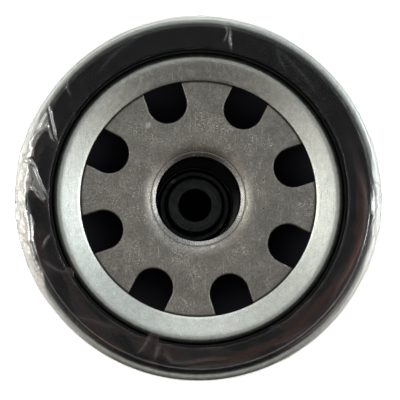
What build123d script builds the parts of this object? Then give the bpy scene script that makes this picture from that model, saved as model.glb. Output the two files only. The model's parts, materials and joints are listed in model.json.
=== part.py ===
"""Spin-on oil filter for a small engine, new in its clear shrink film.

The can's axis is Z. The closed, domed end stands at z = 0 and the gasket's sealing face is the top.
All sizes are in millimetres.
"""

from build123d import *
from math import asin, atan2, cos, degrees, hypot, pi, radians, sin, tan
import os

# Overall sizes
FILTER_HEIGHT = 86.0  # rest plane to the gasket's sealing face
CAN_RADIUS = 36.75
CAN_WALL = 0.4

# Closed end of the can: a flat centre, a shallow cone, a rounded shoulder and flats for a cap wrench
REST_RADIUS = 16.0
CONE_ANGLE = 6.5  # degrees
CENTRE_BEND = 6.0
SHOULDER_BEND = 7.0
FLUTE_COUNT = 14
FLUTE_DEPTH = 1.5
FLUTE_HEIGHT = 18.0

# Double seam between the can and its lid
LID_SHEET = 0.5
SEAM_GAP = 0.05
SEAM_HEIGHT = 3.6
TIGHT_BEND = 0.48  # bend radius of a U-turn in the sheet, as a share of its width
BODY_HOOK_LENGTH = 2.2
SEALANT_THICKNESS = 0.25
SEALANT_WIDTH = 0.3

# Gasket and its groove
GASKET_WIDTH = 4.85
GASKET_THICKNESS = 5.5
GASKET_PROUD = 2.8  # height of the sealing face above the seam
GASKET_OUTER_GAP = 0.1
GASKET_INNER_GAP = 0.6
GASKET_EDGE = 0.6

# Rolled ridge and funnel inside the groove
RIDGE_BELOW_FACE = 3.2
RIDGE_BEND = 1.0
GROOVE_BEND = 0.6
FUNNEL_WIDTH = 5.6
LIP_GAP = 0.1

# Base plate, its inlet slots and its threaded collar
PLATE_THICKNESS = 3.0
PLATE_CLEARANCE = 0.7  # between the plate's rim and the can
SLOT_COUNT = 8
SLOT_WIDTH = 8.2
SLOT_LAND = 4.3  # flat ring between the collar's mouth and the slots
SLOT_BEHIND_LIP = 0.55
SLOT_TURN = 18.2  # degrees from +X to the first slot
MOUTH_WIDTH = 2.55  # across the rounded shoulder round the collar's mouth
MOUTH_SLOPE = 40  # degrees at the shoulder's inner edge
THREAD_MINOR_RADIUS = 8.9  # 3/4-16 UNF
THREAD_LEAD = 1.05
LEAD_SLOPE = 30  # degrees
THREAD_LENGTH = 11.866
COLLAR_WALL = 2.5
COLLAR_STEP_WIDTH = 1.5
COLLAR_STEP_BELOW_PLATE = 6.2

# Anti-drainback valve
VALVE_GAP = 0.05
VALVE_FLANGE = 1.7
VALVE_HUB_CLEARANCE = 0.1
VALVE_HUB_WIDTH = 4.0
VALVE_SKIRT = 1.1
VALVE_LIP_WIDTH = 1.7
VALVE_LIP_OVERLAP = 1.4  # past the slots' outer ends

# Filter element
CAP_SHEET = 0.4
OIL_GAP = 5.35  # between the element and the can
CAP_RIM = 4.0
CAP_GUIDE = 3.0
CAP_BEND = 0.8
COLLAR_SLIDE_CLEARANCE = 0.3
POTTING_THICKNESS = 1.2
PAPER_THICKNESS = 0.6
PAPER_RIM_GAP = 0.7
PLEAT_COUNT = 44
OUTER_FOLD = 1.6
INNER_FOLD = 0.8
PAPER_TUBE_GAP = 0.3
CLIP_SHEET = 0.25
CLIP_GAP = 0.06
CLIP_DEPTH = 4.0
TUBE_GUIDE_GAP = 0.9
TUBE_WALL = 0.4
TUBE_HOLE_RADIUS = 2.0
TUBE_HOLES_ROUND = 6
TUBE_HOLE_ROWS = 8
TUBE_END_MARGIN = 4.5

# Support spring under the element
SUPPORT_SPACE = 8.6
SUPPORT_WIRE = 1.8
SUPPORT_TURNS = 3
SUPPORT_EDGE_GAP = 1.2  # from the spring's outside to the flat centre's edge
SPRING_SEAT_GAP = 0.05

# Bypass valve in the element's lower end
FEED_INSIDE_SEAT = 1.3
SEAT_SHEET = 0.6
SEAT_FLANGE_GAP = 0.3
SEAT_RIM = 3.4
SEAT_BEND = 0.7
PORT_RADIUS = 4.5
SEAL_OVERLAP = 1.5
SEAL_THICKNESS = 1.0
POPPET_MARGIN = 0.2
POPPET_SHEET = 0.6
SPIGOT_HEIGHT = 3.3
SPIGOT_WALL_GAP = 0.5
BYPASS_WIRE = 0.8
BYPASS_TURNS = 5
CAGE_SHEET = 0.4
CAGE_CLEARANCE = 0.4
CAGE_FLANGE = 1.4
CAGE_HEIGHT = 10.8
CAGE_HOLE_RADIUS = 3.8
CAGE_WINDOWS = 4
CAGE_WINDOW_WIDTH = 5.0
CAGE_WINDOW_HEIGHT = 4.5
CAGE_BEND = 0.7

# Shrink film
FILM_THICKNESS = 0.15
FILM_GAP = 0.1
FILM_UNDER_CAN = 10.75  # how far the film reaches in under the closed end
FILM_BELOW_FACE = 0.3

CONE_SLOPE = tan(radians(CONE_ANGLE))

# Heights worked out from the sizes above
SEAM_TOP = FILTER_HEIGHT - GASKET_PROUD
SEAM_BOTTOM = SEAM_TOP - SEAM_HEIGHT
GROOVE_FLOOR = FILTER_HEIGHT - GASKET_THICKNESS
PLATE_TOP = GROOVE_FLOOR - LID_SHEET
PLATE_BOTTOM = PLATE_TOP - PLATE_THICKNESS
MOUTH_BOTTOM = PLATE_TOP - MOUTH_WIDTH * tan(radians(MOUTH_SLOPE / 2))
THREAD_TOP = MOUTH_BOTTOM - THREAD_LEAD * tan(radians(LEAD_SLOPE))
COLLAR_BOTTOM = THREAD_TOP - THREAD_LENGTH
COLLAR_STEP = PLATE_BOTTOM - COLLAR_STEP_BELOW_PLATE
ELEMENT_TOP = COLLAR_STEP - VALVE_FLANGE - 2 * VALVE_GAP
ELEMENT_BOTTOM = CAN_WALL + SUPPORT_SPACE
LOWER_CAP_TOP = ELEMENT_BOTTOM + CAP_SHEET
UPPER_CAP_UNDER = ELEMENT_TOP - CAP_SHEET
PAPER_BOTTOM = LOWER_CAP_TOP + POTTING_THICKNESS
PAPER_TOP = UPPER_CAP_UNDER - POTTING_THICKNESS
SEAT_TOP = LOWER_CAP_TOP + SEAT_SHEET
SEAL_BOTTOM = SEAT_TOP + SPRING_SEAT_GAP
POPPET_BOTTOM = SEAL_BOTTOM + SEAL_THICKNESS
POPPET_TOP = POPPET_BOTTOM + POPPET_SHEET
CAGE_TOP = SEAT_TOP + CAGE_HEIGHT

# Radii worked out from the sizes above
CAN_INNER_RADIUS = CAN_RADIUS - CAN_WALL
GROOVE_OUTER_RADIUS = CAN_INNER_RADIUS - SEAM_GAP - LID_SHEET
GASKET_OUTER_RADIUS = GROOVE_OUTER_RADIUS - GASKET_OUTER_GAP
GASKET_INNER_RADIUS = GASKET_OUTER_RADIUS - GASKET_WIDTH
GROOVE_INNER_RADIUS = GASKET_INNER_RADIUS - GASKET_INNER_GAP
BODY_HOOK_RADIUS = CAN_RADIUS + SEAM_GAP + CAN_WALL  # outside of the can's turned-over edge
SEAM_RADIUS = BODY_HOOK_RADIUS + SEAM_GAP + LID_SHEET
LIP_RADIUS = GROOVE_INNER_RADIUS - FUNNEL_WIDTH
PLATE_RADIUS = CAN_INNER_RADIUS - PLATE_CLEARANCE
COLLAR_MOUTH_RADIUS = THREAD_MINOR_RADIUS + THREAD_LEAD
COLLAR_END_RADIUS = THREAD_MINOR_RADIUS + COLLAR_WALL
COLLAR_ROOT_RADIUS = COLLAR_END_RADIUS + COLLAR_STEP_WIDTH
SLOT_INNER_RADIUS = COLLAR_MOUTH_RADIUS + MOUTH_WIDTH + SLOT_LAND
SLOT_OUTER_RADIUS = LIP_RADIUS + SLOT_BEHIND_LIP
CAP_RADIUS = CAN_INNER_RADIUS - OIL_GAP
CAP_HOLE_RADIUS = COLLAR_END_RADIUS + COLLAR_SLIDE_CLEARANCE
TUBE_RADIUS = CAP_HOLE_RADIUS + CAP_SHEET + TUBE_GUIDE_GAP + TUBE_WALL
PAPER_OUTER_RADIUS = CAP_RADIUS - CAP_SHEET - PAPER_RIM_GAP
PAPER_INNER_RADIUS = TUBE_RADIUS + PAPER_TUBE_GAP + PAPER_THICKNESS
SEAL_RADIUS = PORT_RADIUS + SEAL_OVERLAP
POPPET_RADIUS = SEAL_RADIUS + POPPET_MARGIN
BYPASS_SPRING_RADIUS = POPPET_RADIUS - BYPASS_WIRE  # to the middle of the wire
SPIGOT_RADIUS = BYPASS_SPRING_RADIUS - BYPASS_WIRE / 2 - SPIGOT_WALL_GAP
CAGE_RADIUS = POPPET_RADIUS + CAGE_CLEARANCE + CAGE_SHEET
SEAT_RADIUS = CAGE_RADIUS + CAGE_FLANGE + SEAT_FLANGE_GAP + SEAT_SHEET
SUPPORT_SPRING_RADIUS = REST_RADIUS - SUPPORT_EDGE_GAP - SUPPORT_WIRE / 2
FILM_OPENING_RADIUS = CAN_RADIUS - FILM_UNDER_CAN


def turned(outline):
    """Solid of revolution about Z from a closed line drawn in radius and height."""
    return revolve(Plane.XZ * make_face(outline.edges()), Axis.Z)


def turned_polygon(*points):
    return turned(Polyline(*points, close=True))


def turned_sheet(points, bends, thickness):
    """Pressed sheet: a path through the middle of the sheet, with one bend radius for each corner."""
    middle = Wire(FilletPolyline(*points, radius=bends).edges())
    return turned(middle.offset_2d(thickness / 2, side=Side.BOTH))


def ring(inner, outer, bottom, top):
    return turned_polygon((inner, bottom), (outer, bottom), (outer, top), (inner, top))


def coil(radius, wire, turns, bottom, top):
    """Open-ended compression spring that just fits between two heights."""
    height = top - bottom - wire
    path = Helix(pitch=height / turns, height=height, radius=radius, center=(0, 0, bottom + wire / 2))
    return sweep(Plane(path @ 0, z_dir=path % 0) * Circle(wire / 2), path=path, is_frenet=True)


def can_form(inset):
    """Solid bounded by the can's outer surface, or by its inner surface when inset by the wall."""
    side = CAN_RADIUS - inset
    corner_height = (CAN_RADIUS - REST_RADIUS) * CONE_SLOPE
    profile = FilletPolyline(
        (0, inset), (REST_RADIUS, inset), (side, corner_height + inset), (side, SEAM_TOP),
        radius=[CENTRE_BEND, SHOULDER_BEND - inset],
    )
    body = turned(profile + Polyline((side, SEAM_TOP), (0, SEAM_TOP), (0, inset)))
    flats = RegularPolygon(side - FLUTE_DEPTH, FLUTE_COUNT, major_radius=False)
    spread = degrees(atan2(FLUTE_DEPTH, FLUTE_HEIGHT))
    fluted = extrude(flats, FLUTE_HEIGHT, taper=-spread)
    plain = Pos(0, 0, FLUTE_HEIGHT) * extrude(Circle(CAN_RADIUS), SEAM_TOP - FLUTE_HEIGHT)
    return body & (fluted + plain)


def can_shell():
    """Drawn can whose open edge is turned outwards and down into the seam."""
    edge = SEAM_TOP - LID_SHEET - SEALANT_THICKNESS
    wall_middle = CAN_RADIUS - CAN_WALL / 2
    hook_middle = BODY_HOOK_RADIUS - CAN_WALL / 2
    start = edge - BODY_HOOK_LENGTH
    hook = turned_sheet(
        [(wall_middle, start - CAN_WALL), (wall_middle, edge - CAN_WALL / 2),
         (hook_middle, edge - CAN_WALL / 2), (hook_middle, start + CAN_WALL)],
        [(hook_middle - wall_middle) * TIGHT_BEND] * 2,
        CAN_WALL,
    )
    above = Pos(0, 0, start) * extrude(Circle(SEAM_RADIUS), SEAM_HEIGHT)
    return can_form(0) - can_form(CAN_WALL) - above + (hook & above)


def lid_path():
    """Middle of the lid's sheet, from under the seam, over it, through the groove and down the funnel."""
    half = LID_SHEET / 2
    outer = SEAM_RADIUS - half
    inner = GROOVE_OUTER_RADIUS + half
    top = SEAM_TOP - half
    floor = GROOVE_FLOOR - half
    wall = GROOVE_INNER_RADIUS - half
    lip = (LIP_RADIUS + half, PLATE_TOP + LIP_GAP + half)
    roll_centre = (wall - RIDGE_BEND, FILTER_HEIGHT - RIDGE_BELOW_FACE - half - RIDGE_BEND)
    run = roll_centre[0] - lip[0]
    drop = roll_centre[1] - lip[1]
    slope = atan2(drop, run) + asin(RIDGE_BEND / hypot(drop, run))
    peak = roll_centre[1] + RIDGE_BEND / cos(slope) + RIDGE_BEND * tan(slope)
    points = [
        (CAN_RADIUS + SEAM_GAP + half, SEAM_BOTTOM + half), (outer, SEAM_BOTTOM + half), (outer, top),
        (inner, top), (inner, floor), (wall, floor), (wall, peak), lip,
    ]
    seam_bend = (outer - inner) * TIGHT_BEND
    return points, [half + 0.02, seam_bend, seam_bend, GROOVE_BEND, GROOVE_BEND, RIDGE_BEND]


def seaming_lid():
    points, bends = lid_path()
    return turned_sheet(points, bends, LID_SHEET)


def seam_sealant():
    """Sealing compound under the top of the seam, over the can's turned edge."""
    underside = SEAM_TOP - LID_SHEET
    middle = (CAN_INNER_RADIUS + BODY_HOOK_RADIUS) / 2
    half = SEALANT_WIDTH / 2
    return ring(middle - half, middle + half, underside - SEALANT_THICKNESS, underside - SEAM_GAP)


def inlet_slots():
    """Slots with a round inner end, as one group of cutters through the plate."""
    arc_centre = SLOT_INNER_RADIUS + SLOT_WIDTH / 2
    shape = Pos(arc_centre, 0) * Circle(SLOT_WIDTH / 2)
    shape += Pos(arc_centre + PLATE_RADIUS / 2, 0) * Rectangle(PLATE_RADIUS, SLOT_WIDTH)
    shape &= Circle(SLOT_OUTER_RADIUS)
    cutter = extrude(Pos(0, 0, PLATE_BOTTOM - 1) * shape, PLATE_THICKNESS + 2)
    return [Rot(0, 0, SLOT_TURN + i * 360 / SLOT_COUNT) * cutter for i in range(SLOT_COUNT)]


def base_plate():
    """Thick steel plate with its centre drawn inwards into the threaded collar."""
    mouth_start = COLLAR_MOUTH_RADIUS + MOUTH_WIDTH
    shoulder = MOUTH_WIDTH / sin(radians(MOUTH_SLOPE))
    mouth = RadiusArc((mouth_start, PLATE_TOP), (COLLAR_MOUTH_RADIUS, MOUTH_BOTTOM), -shoulder)
    rest = Polyline(
        (COLLAR_MOUTH_RADIUS, MOUTH_BOTTOM), (THREAD_MINOR_RADIUS, THREAD_TOP),
        (THREAD_MINOR_RADIUS, COLLAR_BOTTOM), (COLLAR_END_RADIUS, COLLAR_BOTTOM),
        (COLLAR_END_RADIUS, COLLAR_STEP), (COLLAR_ROOT_RADIUS, COLLAR_STEP),
        (COLLAR_ROOT_RADIUS, PLATE_BOTTOM), (PLATE_RADIUS, PLATE_BOTTOM),
        (PLATE_RADIUS, PLATE_TOP), (mouth_start, PLATE_TOP),
    )
    return turned(mouth + rest) - inlet_slots()


def gasket():
    section = FilletPolyline(
        (GASKET_INNER_RADIUS, GROOVE_FLOOR), (GASKET_OUTER_RADIUS, GROOVE_FLOOR),
        (GASKET_OUTER_RADIUS, FILTER_HEIGHT), (GASKET_INNER_RADIUS, FILTER_HEIGHT),
        radius=GASKET_EDGE, close=True,
    )
    return turned(section)


def anti_drainback_valve():
    """Rubber diaphragm: a flange round the collar and a cone whose lip closes on the plate."""
    bottom = ELEMENT_TOP + VALVE_GAP
    top = bottom + VALVE_FLANGE
    hub = COLLAR_END_RADIUS + VALVE_HUB_CLEARANCE
    bend = hub + VALVE_HUB_WIDTH
    lip = PLATE_BOTTOM - VALVE_GAP
    lip_start = SLOT_OUTER_RADIUS + VALVE_LIP_OVERLAP
    lip_end = lip_start + VALVE_LIP_WIDTH
    return turned_polygon(
        (hub, bottom), (bend + VALVE_SKIRT / 2, bottom), (lip_end, lip - VALVE_SKIRT), (lip_end, lip),
        (lip_start, lip), (bend - VALVE_SKIRT / 2, top), (hub, top),
    )


def upper_end_cap():
    """Pressed cap with a guide round its hole, which slides on the collar."""
    half = CAP_SHEET / 2
    guide = CAP_HOLE_RADIUS + half
    rim = CAP_RADIUS - half
    level = ELEMENT_TOP - half
    return turned_sheet(
        [(guide, ELEMENT_TOP - CAP_GUIDE), (guide, level), (rim, level), (rim, ELEMENT_TOP - CAP_RIM)],
        [CAP_BEND, CAP_BEND],
        CAP_SHEET,
    )


def lower_end_cap():
    half = CAP_SHEET / 2
    rim = CAP_RADIUS - half
    level = ELEMENT_BOTTOM + half
    return turned_sheet(
        [(SEAT_RADIUS - FEED_INSIDE_SEAT + half, level), (rim, level), (rim, ELEMENT_BOTTOM + CAP_RIM)],
        [CAP_BEND],
        CAP_SHEET,
    )


def potting(bottom, top):
    """Adhesive that holds the paper in an end cap."""
    return ring(TUBE_RADIUS + SPRING_SEAT_GAP, CAP_RADIUS - CAP_SHEET - CAP_BEND, bottom, top)


def fold_points(shift):
    """Corners of the folded paper, moved outwards by shift from the middle of the paper."""
    half = PAPER_THICKNESS / 2
    folds = [
        (PAPER_OUTER_RADIUS - half, OUTER_FOLD / 2, shift),
        (PAPER_INNER_RADIUS - half, INNER_FOLD / 2, -shift),
    ]
    points = []
    for i in range(2 * PLEAT_COUNT):
        radius, width, spread = folds[i % 2]
        turn = pi * i / PLEAT_COUNT
        for side in (-1, 1):
            across = side * (width + spread)
            along = radius + shift
            points.append((along * cos(turn) - across * sin(turn), along * sin(turn) + across * cos(turn)))
    return points


def paper_media():
    """Filter paper folded into deep pleats round the centre tube."""
    half = PAPER_THICKNESS / 2
    outline = make_face(Polyline(*fold_points(half), close=True))
    hollow = make_face(Polyline(*fold_points(-half), close=True))
    return Pos(0, 0, PAPER_BOTTOM) * extrude(outline - hollow, PAPER_TOP - PAPER_BOTTOM)


def pleat_clip():
    """Folded steel strip that joins the paper's two ends over one pleat."""
    inner = OUTER_FOLD + PAPER_THICKNESS + 2 * CLIP_GAP
    back = PAPER_OUTER_RADIUS + CLIP_GAP
    outside = Pos(back + CLIP_SHEET - CLIP_DEPTH / 2, 0) * Rectangle(CLIP_DEPTH, inner + 2 * CLIP_SHEET)
    inside = Pos(back - CLIP_DEPTH / 2, 0) * Rectangle(CLIP_DEPTH, inner)
    return Pos(0, 0, PAPER_BOTTOM) * extrude(outside - inside, PAPER_TOP - PAPER_BOTTOM)


def centre_tube():
    """Perforated steel tube that keeps the pleats from collapsing inwards."""
    tube = ring(TUBE_RADIUS - TUBE_WALL, TUBE_RADIUS, LOWER_CAP_TOP, UPPER_CAP_UNDER)
    first = LOWER_CAP_TOP + TUBE_END_MARGIN
    rise = (UPPER_CAP_UNDER - TUBE_END_MARGIN - first) / (TUBE_HOLE_ROWS - 1)
    step = 360 / TUBE_HOLES_ROUND
    hole = Rot(0, 90, 0) * Cylinder(TUBE_HOLE_RADIUS, TUBE_RADIUS, align=(Align.CENTER, Align.CENTER, Align.MIN))
    holes = [
        Pos(0, 0, first + row * rise) * Rot(0, 0, step * (column + row % 2 / 2)) * hole
        for row in range(TUBE_HOLE_ROWS)
        for column in range(TUBE_HOLES_ROUND)
    ]
    return tube - holes


def support_spring():
    return coil(SUPPORT_SPRING_RADIUS, SUPPORT_WIRE, SUPPORT_TURNS,
                CAN_WALL + SPRING_SEAT_GAP, ELEMENT_BOTTOM - SPRING_SEAT_GAP)


def bypass_seat():
    """Pressed cup with the valve's port in its floor."""
    half = SEAT_SHEET / 2
    rim = SEAT_RADIUS - half
    level = LOWER_CAP_TOP + half
    return turned_sheet(
        [(PORT_RADIUS + half, level), (rim, level), (rim, LOWER_CAP_TOP + SEAT_RIM - half)],
        [SEAT_BEND],
        SEAT_SHEET,
    )


def bypass_seal():
    return extrude(Pos(0, 0, SEAL_BOTTOM) * Circle(SEAL_RADIUS), SEAL_THICKNESS)


def bypass_poppet():
    """Disc over the seal, with a hollow spigot that centres the spring."""
    top = POPPET_TOP + SPIGOT_HEIGHT
    bore = SPIGOT_RADIUS - POPPET_SHEET
    return turned_polygon(
        (0, POPPET_BOTTOM), (POPPET_RADIUS, POPPET_BOTTOM), (POPPET_RADIUS, POPPET_TOP),
        (SPIGOT_RADIUS, POPPET_TOP), (SPIGOT_RADIUS, top), (bore, top), (bore, POPPET_TOP), (0, POPPET_TOP),
    )


def bypass_spring():
    return coil(BYPASS_SPRING_RADIUS, BYPASS_WIRE, BYPASS_TURNS,
                POPPET_TOP + SPRING_SEAT_GAP, CAGE_TOP - CAGE_SHEET - SPRING_SEAT_GAP)


def bypass_cage():
    """Pressed cup over the spring, with windows for the oil and a hole in its crown."""
    half = CAGE_SHEET / 2
    wall = CAGE_RADIUS - half
    cup = turned_sheet(
        [(CAGE_RADIUS + CAGE_FLANGE - half, SEAT_TOP + half), (wall, SEAT_TOP + half),
         (wall, CAGE_TOP - half), (CAGE_HOLE_RADIUS + half, CAGE_TOP - half)],
        [CAGE_BEND, CAGE_BEND],
        CAGE_SHEET,
    )
    window = Pos(CAGE_RADIUS, 0, (SEAT_TOP + CAGE_TOP) / 2) * Box(
        2 * CAGE_CLEARANCE + CAGE_SHEET, CAGE_WINDOW_WIDTH, CAGE_WINDOW_HEIGHT)
    return cup - [Rot(0, 0, i * 360 / CAGE_WINDOWS) * window for i in range(CAGE_WINDOWS)]


def shrink_film():
    """Clear film from under the can's shoulder, over the seam, to the gasket's side."""
    off = FILM_GAP + FILM_THICKNESS / 2
    side = CAN_RADIUS + off
    seam = SEAM_RADIUS + off
    step = seam - side
    return turned_sheet(
        [
            (FILM_OPENING_RADIUS, (FILM_OPENING_RADIUS - REST_RADIUS) * CONE_SLOPE - off),
            (side, (side - REST_RADIUS) * CONE_SLOPE - off),
            (side, SEAM_BOTTOM - 2 * step), (seam, SEAM_BOTTOM), (seam, SEAM_TOP + off),
            (GASKET_OUTER_RADIUS + off, SEAM_TOP + off), (GASKET_OUTER_RADIUS + off, FILTER_HEIGHT - FILM_BELOW_FACE),
        ],
        [SHOULDER_BEND + off, step / 2, step / 2, LID_SHEET + off, off + FILM_THICKNESS / 2],
        FILM_THICKNESS,
    )


NODES = {
    "can_shell": can_shell,
    "seaming_lid": seaming_lid,
    "seam_sealant": seam_sealant,
    "base_plate": base_plate,
    "gasket": gasket,
    "anti_drainback_valve": anti_drainback_valve,
    "upper_end_cap": upper_end_cap,
    "lower_end_cap": lower_end_cap,
    "upper_potting": lambda: potting(PAPER_TOP, UPPER_CAP_UNDER),
    "lower_potting": lambda: potting(LOWER_CAP_TOP, PAPER_BOTTOM),
    "paper_media": paper_media,
    "pleat_clip": pleat_clip,
    "centre_tube": centre_tube,
    "support_spring": support_spring,
    "bypass_seat": bypass_seat,
    "bypass_seal": bypass_seal,
    "bypass_poppet": bypass_poppet,
    "bypass_spring": bypass_spring,
    "bypass_cage": bypass_cage,
    "shrink_film": shrink_film,
}

os.makedirs("parts", exist_ok=True)
for name, make in NODES.items():
    export_step(make(), f"parts/{name}.step")
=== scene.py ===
"""Looks for the spin-on oil filter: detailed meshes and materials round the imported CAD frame."""

import json
import math

import bmesh
import bpy
import numpy as np
from mathutils import Matrix, Vector, noise


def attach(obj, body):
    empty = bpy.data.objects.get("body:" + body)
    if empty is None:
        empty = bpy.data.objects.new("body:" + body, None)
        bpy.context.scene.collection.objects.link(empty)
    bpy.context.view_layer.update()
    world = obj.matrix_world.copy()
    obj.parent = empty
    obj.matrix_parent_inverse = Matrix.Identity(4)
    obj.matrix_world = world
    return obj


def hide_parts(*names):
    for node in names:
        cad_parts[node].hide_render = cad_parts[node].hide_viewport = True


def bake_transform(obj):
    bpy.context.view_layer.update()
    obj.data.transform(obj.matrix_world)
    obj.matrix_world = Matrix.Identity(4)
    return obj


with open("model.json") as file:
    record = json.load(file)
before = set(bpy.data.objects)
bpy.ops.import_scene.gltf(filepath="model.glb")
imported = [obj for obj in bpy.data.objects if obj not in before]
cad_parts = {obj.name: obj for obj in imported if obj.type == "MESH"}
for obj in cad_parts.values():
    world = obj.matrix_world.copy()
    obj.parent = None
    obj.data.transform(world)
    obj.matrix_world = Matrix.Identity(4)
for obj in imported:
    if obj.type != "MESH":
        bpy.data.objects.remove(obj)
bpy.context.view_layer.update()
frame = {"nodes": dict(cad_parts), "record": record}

MM = 0.001
SEGMENTS = 288
SEED = 11


# ---------------------------------------------------------------- places read from the frame


def reach(node):
    """Inner radius, outer radius, lowest and highest point of a CAD node that lies round Z."""
    co = np.array([v.co for v in frame["nodes"][node].data.vertices])
    radius = np.hypot(co[:, 0], co[:, 1])
    return radius.min(), radius.max(), co[:, 2].min(), co[:, 2].max()


GASKET_IN, GASKET_OUT, GROOVE_FLOOR, FACE = reach("gasket")
LIP, SEAM_OUT, SEAM_LOW, SEAM_TOP = reach("seaming_lid")
THREAD_MINOR, PLATE_OUT, COLLAR_LOW, PLATE_TOP = reach("base_plate")
VALVE_HUB, VALVE_OUT, VALVE_LOW, VALVE_TOP = reach("anti_drainback_valve")
SPRING_IN, SPRING_OUT, SPRING_LOW, SPRING_TOP = reach("support_spring")
COIL_IN, COIL_OUT, COIL_LOW, COIL_TOP = reach("bypass_spring")
FILM_END, FILM_OUT = reach("shrink_film")[:2]
CAN_TOP = reach("can_shell")[3]

LID_SHEET = GROOVE_FLOOR - PLATE_TOP
CAN_RADIUS = 36.75 * MM
REST_RADIUS = 16 * MM  # flat middle of the closed end
CLOSED_END_RISE = math.tan(math.radians(6.5))
CAN_WALL = 0.4 * MM
GROOVE_OUT = GASKET_OUT + 0.1 * MM
GROOVE_IN = GASKET_IN - 0.6 * MM
PLATE_LOW = PLATE_TOP - 3.0 * MM


# ---------------------------------------------------------------- outlines, as points of radius and height


def rounded(points, bends, steps=8):
    """Line through the points, with an arc of the given radius at each inner corner."""
    points = [Vector(p) for p in points]
    line = [points[0]]
    for before, corner, after, bend in zip(points, points[1:], points[2:], bends):
        a, b = (before - corner).normalized(), (after - corner).normalized()
        half = a.angle(b) / 2
        centre = corner + (a + b).normalized() * (bend / math.sin(half))
        start, end = corner + a * (bend / math.tan(half)), corner + b * (bend / math.tan(half))
        first = math.atan2(*reversed(start - centre))
        turn = (math.atan2(*reversed(end - centre)) - first + math.pi) % math.tau - math.pi
        for i in range(steps + 1):
            angle = first + turn * i / steps
            line.append(centre + Vector((math.cos(angle), math.sin(angle))) * bend)
    line.append(points[-1])
    return np.array([tuple(p) for p in line])


def rounded_loop(points, bends, steps=8):
    """Closed outline with an arc at every corner."""
    wrapped = [points[-1], *points, points[0]]
    return rounded(wrapped, bends, steps)[1:-1]


def evened(line, spacing):
    """The same line with no stretch longer than spacing."""
    out = [line[0]]
    for a, b in zip(line, line[1:]):
        count = max(1, math.ceil(np.linalg.norm(b - a) / spacing))
        out.extend(a + (b - a) * i / count for i in range(1, count + 1))
    return np.array(out)


def sideways(line):
    """Unit normals of a line, to its left."""
    along = np.gradient(line, axis=0)
    along /= np.linalg.norm(along, axis=1)[:, None]
    return np.stack([-along[:, 1], along[:, 0]], axis=1)


def sheet_loop(line, thickness, steps=6):
    """Closed outline of a sheet whose middle follows the line, with round edges."""
    normal = sideways(line) * (thickness / 2)

    def cap(i, side):
        ahead = np.array([normal[i][1], -normal[i][0]]) * side
        angles = [math.pi * k / steps for k in range(1, steps)]
        return [line[i] + normal[i] * side * math.cos(a) + ahead * math.sin(a) for a in angles]

    return np.array([*(line + normal), *cap(-1, 1), *(line - normal)[::-1], *cap(0, -1)])


# ---------------------------------------------------------------- meshes


def new_piece(name, points, faces, body, slot, material, replaced=(), sharp=35):
    """Mesh piece in the frame, welded, with smooth shading except at sharp edges."""
    mesh = bpy.data.meshes.new(name)
    mesh.from_pydata([tuple(p) for p in points], [], faces)
    bm = bmesh.new()
    bm.from_mesh(mesh)
    bmesh.ops.remove_doubles(bm, verts=bm.verts, dist=2e-7)
    bmesh.ops.dissolve_degenerate(bm, edges=bm.edges, dist=1e-8)
    bmesh.ops.recalc_face_normals(bm, faces=bm.faces)
    bm.to_mesh(mesh)
    bm.free()
    mesh.polygons.foreach_set("use_smooth", [True] * len(mesh.polygons))
    mesh.set_sharp_from_angle(angle=math.radians(sharp))
    piece = bpy.data.objects.new(name, mesh)
    bpy.context.scene.collection.objects.link(piece)
    mesh.materials.append(material)
    if body:
        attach(piece, body)
    if replaced:
        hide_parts(*replaced)
    return piece


def grid_faces(rows, columns, close_rows=False, close_columns=True):
    faces = []
    for i in range(rows if close_rows else rows - 1):
        for j in range(columns if close_columns else columns - 1):
            a, b = i * columns + j, i * columns + (j + 1) % columns
            c, d = ((i + 1) % rows) * columns + (j + 1) % columns, ((i + 1) % rows) * columns + j
            faces.append((a, b, c, d))
    return faces


def turned(outline, angles=None, shape=None):
    """Points of an outline turned about Z, row by row. shape(radius, height, angle) may move them."""
    if angles is None:
        angles = np.arange(SEGMENTS) * math.tau / SEGMENTS
    radius = np.repeat(outline[:, :1], len(angles), axis=1)
    height = np.repeat(outline[:, 1:], len(angles), axis=1)
    angle = np.repeat(np.asarray(angles)[None, :], len(outline), axis=0)
    if shape:
        radius, height = shape(radius, height, angle)
    return np.stack([radius * np.cos(angle), radius * np.sin(angle), height], axis=2).reshape(-1, 3)


def lathe(name, outline, body, slot, material, closed=True, shape=None, **more):
    points = turned(outline, shape=shape)
    faces = grid_faces(len(outline), SEGMENTS, close_rows=closed)
    return new_piece(name, points, faces, body, slot, material, **more)


def coil_mesh(radius, wire, turns, low, high, sides=16, steps=72):
    """Wire wound into a spring with closed ends, as points and faces."""
    total = int(turns * steps)
    rings = []
    for i in range(total + 1):
        share = i / total
        angle = share * turns * math.tau
        height = low + wire / 2 + (high - low - wire) * share
        out = Vector((math.cos(angle), math.sin(angle), 0))
        for k in range(sides):
            a = math.tau * k / sides
            rise = Vector((0, 0, height + wire / 2 * math.sin(a)))
            rings.append(out * (radius + wire / 2 * math.cos(a)) + rise)
    faces = grid_faces(total + 1, sides)
    faces += [tuple(range(sides))[::-1], tuple(range(total * sides, (total + 1) * sides))]
    return rings, faces


# ---------------------------------------------------------------- node trees


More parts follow.
